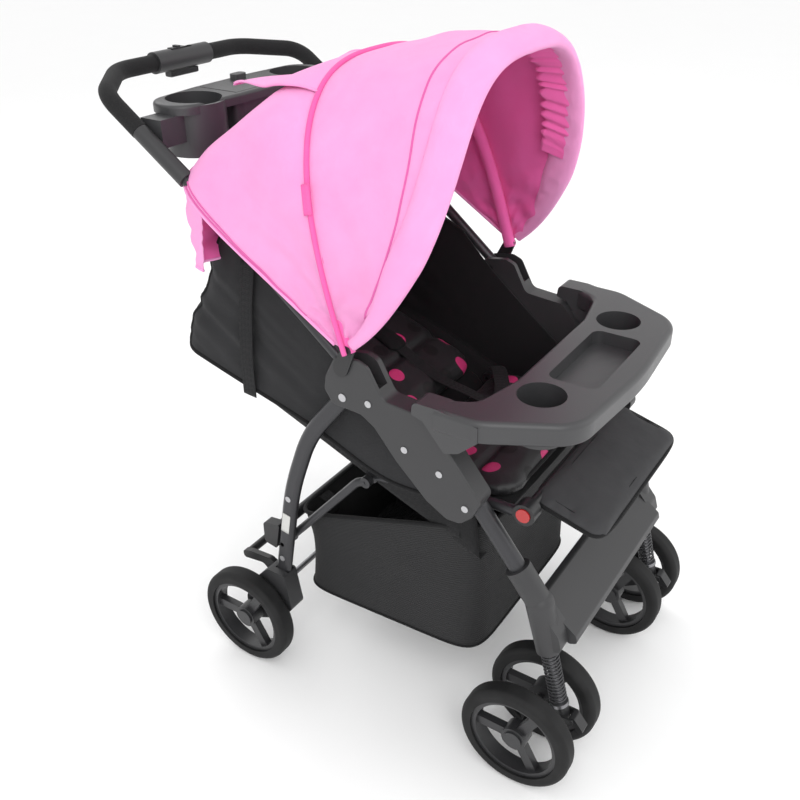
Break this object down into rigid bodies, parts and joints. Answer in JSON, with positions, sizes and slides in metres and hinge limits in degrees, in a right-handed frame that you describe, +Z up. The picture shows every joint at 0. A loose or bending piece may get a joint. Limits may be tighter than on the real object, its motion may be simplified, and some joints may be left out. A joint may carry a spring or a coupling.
{
  "type": "baby stroller",
  "caption": "Folding baby stroller: bent handle with tray, rounded canopy, reclining padded seat, snack tray, leg rest, cloth basket, sprung twin front casters and rear wheels.",
  "frame": {"origin": "on the floor, at the bottom centre of the overall box", "axes": "+X across the stroller towards the rider's left, -Y to the front, +Z up"},
  "size_m": [0.53, 0.858, 0.9941],
  "materials": {
    "frame_tube": "satin gunmetal paint",
    "plate_plastic": "satin moulded",
    "tray_plastic": "satin moulded",
    "trim_plastic": "satin moulded",
    "wheel_plastic": "satin moulded",
    "tyre": "matte",
    "foam": "matte closed-cell foam",
    "rivet_steel": "polished rivet heads",
    "axle_steel": "satin",
    "spring_steel": "satin black",
    "canopy_cloth": "woven, pink outside and hot pink inside",
    "charcoal_cloth": "woven",
    "liner_cloth": "glossy woven with round dots",
    "basket_cloth": "ribbed woven",
    "webbing": "woven webbing",
    "button_red": "gloss"
  },
  "bodies": {
    "chassis": {"front_leg_tubes": "frame_tube", "hinge_plate_right": "plate_plastic", "hinge_plate_left": "plate_plastic", "plate_rivets": "rivet_steel", "footrest": "plate_plastic", "basket": "basket_cloth", "side_panels": "charcoal_cloth"},
    "handle": {"handle_tube": "frame_tube", "foam_grips": "foam", "handle_sleeves": "plate_plastic", "handle_grip": "plate_plastic", "parent_tray": "tray_plastic", "canopy_clamps": "trim_plastic", "canopy_rear_cloth": "canopy_cloth"},
    "grip_slider": {"grip_slider": "trim_plastic"},
    "grip_trigger": {"grip_trigger": "trim_plastic"},
    "parent_lid": {"parent_tray_lid": "tray_plastic"},
    "canopy_mid": {"canopy_mid_bow": "trim_plastic", "canopy_front_cloth": "canopy_cloth"},
    "canopy_front": {"canopy_front_bow": "trim_plastic"},
    "rear_legs": {"rear_leg_tubes": "frame_tube", "rear_leg_rivets": "rivet_steel", "rear_feet": "plate_plastic", "rear_axle": "axle_steel", "rear_cross_bar": "trim_plastic"},
    "links": {"folding_links": "frame_tube"},
    "seat_frame": {"seat_side_tubes": "frame_tube", "leg_rest_hubs": "trim_plastic", "seat_sling": "charcoal_cloth", "seat_pad": "liner_cloth", "harness_buckle": "trim_plastic"},
    "brake": {"brake_bar": "trim_plastic"},
    "backrest": {"backrest_board": "charcoal_cloth", "backrest_pad": "liner_cloth", "shoulder_straps": "webbing"},
    "leg_rest": {"leg_rest_panel": "charcoal_cloth"},
    "leg_rest_button_right": {"leg_rest_button_right": "button_red"},
    "leg_rest_button_left": {"leg_rest_button_left": "button_red"},
    "buckle_button": {"buckle_button": "button_red"},
    "child_tray": {"child_tray": "tray_plastic"},
    "caster_stem_right": {"caster_stem_right": "axle_steel", "caster_spring_right": "spring_steel"},
    "caster_right": {"caster_fork_right": "trim_plastic"},
    "swivel_lock_right": {"swivel_lock_right": "trim_plastic"},
    "front_wheel_right_outer": {"front_wheel_right_outer_tyre": "tyre", "front_wheel_right_outer_rim": "wheel_plastic"},
    "front_wheel_right_inner": {"front_wheel_right_inner_tyre": "tyre", "front_wheel_right_inner_rim": "wheel_plastic"},
    "rear_wheel_right": {"rear_wheel_right_tyre": "tyre", "rear_wheel_right_rim": "wheel_plastic"},
    "caster_stem_left": {"caster_stem_left": "axle_steel", "caster_spring_left": "spring_steel"},
    "caster_left": {"caster_fork_left": "trim_plastic"},
    "swivel_lock_left": {"swivel_lock_left": "trim_plastic"},
    "front_wheel_left_outer": {"front_wheel_left_outer_tyre": "tyre", "front_wheel_left_outer_rim": "wheel_plastic"},
    "front_wheel_left_inner": {"front_wheel_left_inner_tyre": "tyre", "front_wheel_left_inner_rim": "wheel_plastic"},
    "rear_wheel_left": {"rear_wheel_left_tyre": "tyre", "rear_wheel_left_rim": "wheel_plastic"}
  },
  "joints": [
    {"name": "handle_fold", "type": "hinge", "parent": "chassis", "child": "handle", "pos_m": [0, -0.05, 0.598], "axis": [1, 0, 0], "range_deg": [0, 65], "deforming": ["side_panels"]},
    {"name": "grip_slide", "type": "slide", "parent": "handle", "child": "grip_slider", "axis": [1, 0, 0], "range_m": [0, 0.012]},
    {"name": "grip_squeeze", "type": "slide", "parent": "handle", "child": "grip_trigger", "axis": [0, 0, 1], "range_m": [0, 0.005], "stiffness_N_per_m": 800, "springref_m": -0.002},
    {"name": "parent_lid_hinge", "type": "hinge", "parent": "handle", "child": "parent_lid", "pos_m": [0, 0.2469, 0.8879], "axis": [1, 0, 0], "range_deg": [0, 80]},
    {"name": "canopy_mid_turn", "type": "hinge", "parent": "handle", "child": "canopy_mid", "pos_m": [0, -0.065, 0.632], "axis": [-1, 0, 0], "range_deg": [0, 20], "deforming": ["canopy_rear_cloth", "canopy_front_cloth"]},
    {"name": "canopy_front_turn", "type": "hinge", "parent": "canopy_mid", "child": "canopy_front", "pos_m": [0, -0.065, 0.632], "axis": [-1, 0, 0], "range_deg": [0, 31], "deforming": ["canopy_front_cloth"]},
    {"name": "rear_leg_fold", "type": "hinge", "parent": "chassis", "child": "rear_legs", "pos_m": [0, -0.05, 0.554], "axis": [-1, 0, 0], "range_deg": [0, 33], "deforming": ["basket"]},
    {"name": "link_fold", "type": "hinge", "parent": "rear_legs", "child": "links", "pos_m": [0, 0.086, 0.238], "axis": [-1, 0, 0], "range_deg": [0, 21], "deforming": ["basket"]},
    {"name": "seat_fold", "type": "hinge", "parent": "chassis", "child": "seat_frame", "pos_m": [0, -0.223, 0.43], "axis": [1, 0, 0], "range_deg": [0, 11.1], "deforming": ["basket", "side_panels"]},
    {"name": "brake_press", "type": "hinge", "parent": "rear_legs", "child": "brake", "pos_m": [0, 0.118, 0.15], "axis": [-1, 0, 0], "range_deg": [0, 15]},
    {"name": "backrest_recline", "type": "hinge", "parent": "seat_frame", "child": "backrest", "pos_m": [0, -0.065, 0.404], "axis": [1, 0, 0], "range_deg": [0, 45], "deforming": ["side_panels"]},
    {"name": "leg_rest_turn", "type": "hinge", "parent": "seat_frame", "child": "leg_rest", "pos_m": [0, -0.308, 0.436], "axis": [1, 0, 0], "range_deg": [0, 40]},
    {"name": "leg_rest_press_right", "type": "slide", "parent": "seat_frame", "child": "leg_rest_button_right", "axis": [1, 0, 0], "range_m": [0, 0.003], "stiffness_N_per_m": 500, "springref_m": -0.002},
    {"name": "leg_rest_press_left", "type": "slide", "parent": "seat_frame", "child": "leg_rest_button_left", "axis": [-1, 0, 0], "range_m": [0, 0.003], "stiffness_N_per_m": 500, "springref_m": -0.002},
    {"name": "buckle_press", "type": "slide", "parent": "seat_frame", "child": "buckle_button", "axis": [0, 0, -1], "range_m": [0, 0.003], "stiffness_N_per_m": 500, "springref_m": -0.002},
    {"name": "child_tray_pull", "type": "slide", "parent": "chassis", "child": "child_tray", "axis": [0, -1, 0], "range_m": [0, 0.08]},
    {"name": "caster_spring_right", "type": "slide", "parent": "chassis", "child": "caster_stem_right", "axis": [0, 0.2554, 0.9668], "range_m": [0, 0.01], "stiffness_N_per_m": 20000, "springref_m": -0.004, "deforming": ["caster_spring_right"]},
    {"name": "caster_swivel_right", "type": "hinge", "parent": "caster_stem_right", "child": "caster_right", "pos_m": [-0.1815, -0.38599, 0.13199], "axis": [0, 0.2554, 0.9668], "continuous": true},
    {"name": "swivel_lock_right", "type": "hinge", "parent": "caster_right", "child": "swivel_lock_right", "pos_m": [-0.1815, -0.40998, 0.11557], "axis": [-1, 0, 0], "range_deg": [0, 20]},
    {"name": "front_wheel_right_outer_spin", "type": "hinge", "parent": "caster_right", "child": "front_wheel_right_outer", "pos_m": [-0.2295, -0.345, 0.086], "axis": [1, 0, 0], "continuous": true},
    {"name": "front_wheel_right_inner_spin", "type": "hinge", "parent": "caster_right", "child": "front_wheel_right_inner", "pos_m": [-0.1335, -0.345, 0.086], "axis": [1, 0, 0], "continuous": true},
    {"name": "rear_wheel_right_spin", "type": "hinge", "parent": "rear_legs", "child": "rear_wheel_right", "pos_m": [-0.249, 0.145, 0.086], "axis": [1, 0, 0], "continuous": true},
    {"name": "caster_spring_left", "type": "slide", "parent": "chassis", "child": "caster_stem_left", "axis": [0, 0.2554, 0.9668], "range_m": [0, 0.01], "stiffness_N_per_m": 20000, "springref_m": -0.004, "deforming": ["caster_spring_left"]},
    {"name": "caster_swivel_left", "type": "hinge", "parent": "caster_stem_left", "child": "caster_left", "pos_m": [0.1815, -0.38599, 0.13199], "axis": [0, 0.2554, 0.9668], "continuous": true},
    {"name": "swivel_lock_left", "type": "hinge", "parent": "caster_left", "child": "swivel_lock_left", "pos_m": [0.1815, -0.40998, 0.11557], "axis": [-1, 0, 0], "range_deg": [0, 20]},
    {"name": "front_wheel_left_outer_spin", "type": "hinge", "parent": "caster_left", "child": "front_wheel_left_outer", "pos_m": [0.2295, -0.345, 0.086], "axis": [1, 0, 0], "continuous": true},
    {"name": "front_wheel_left_inner_spin", "type": "hinge", "parent": "caster_left", "child": "front_wheel_left_inner", "pos_m": [0.1335, -0.345, 0.086], "axis": [1, 0, 0], "continuous": true},
    {"name": "rear_wheel_left_spin", "type": "hinge", "parent": "rear_legs", "child": "rear_wheel_left", "pos_m": [0.249, 0.145, 0.086], "axis": [1, 0, 0], "continuous": true}
  ],
  "couplings": [
    {"joint": "rear_leg_fold", "follows": "handle_fold", "ratio": 0.50769},
    {"joint": "link_fold", "follows": "handle_fold", "ratio": 0.32138},
    {"joint": "seat_fold", "follows": "handle_fold", "ratio": 0.16985},
    {"joint": "canopy_front_turn", "follows": "canopy_mid_turn", "ratio": 1.55}
  ]
}
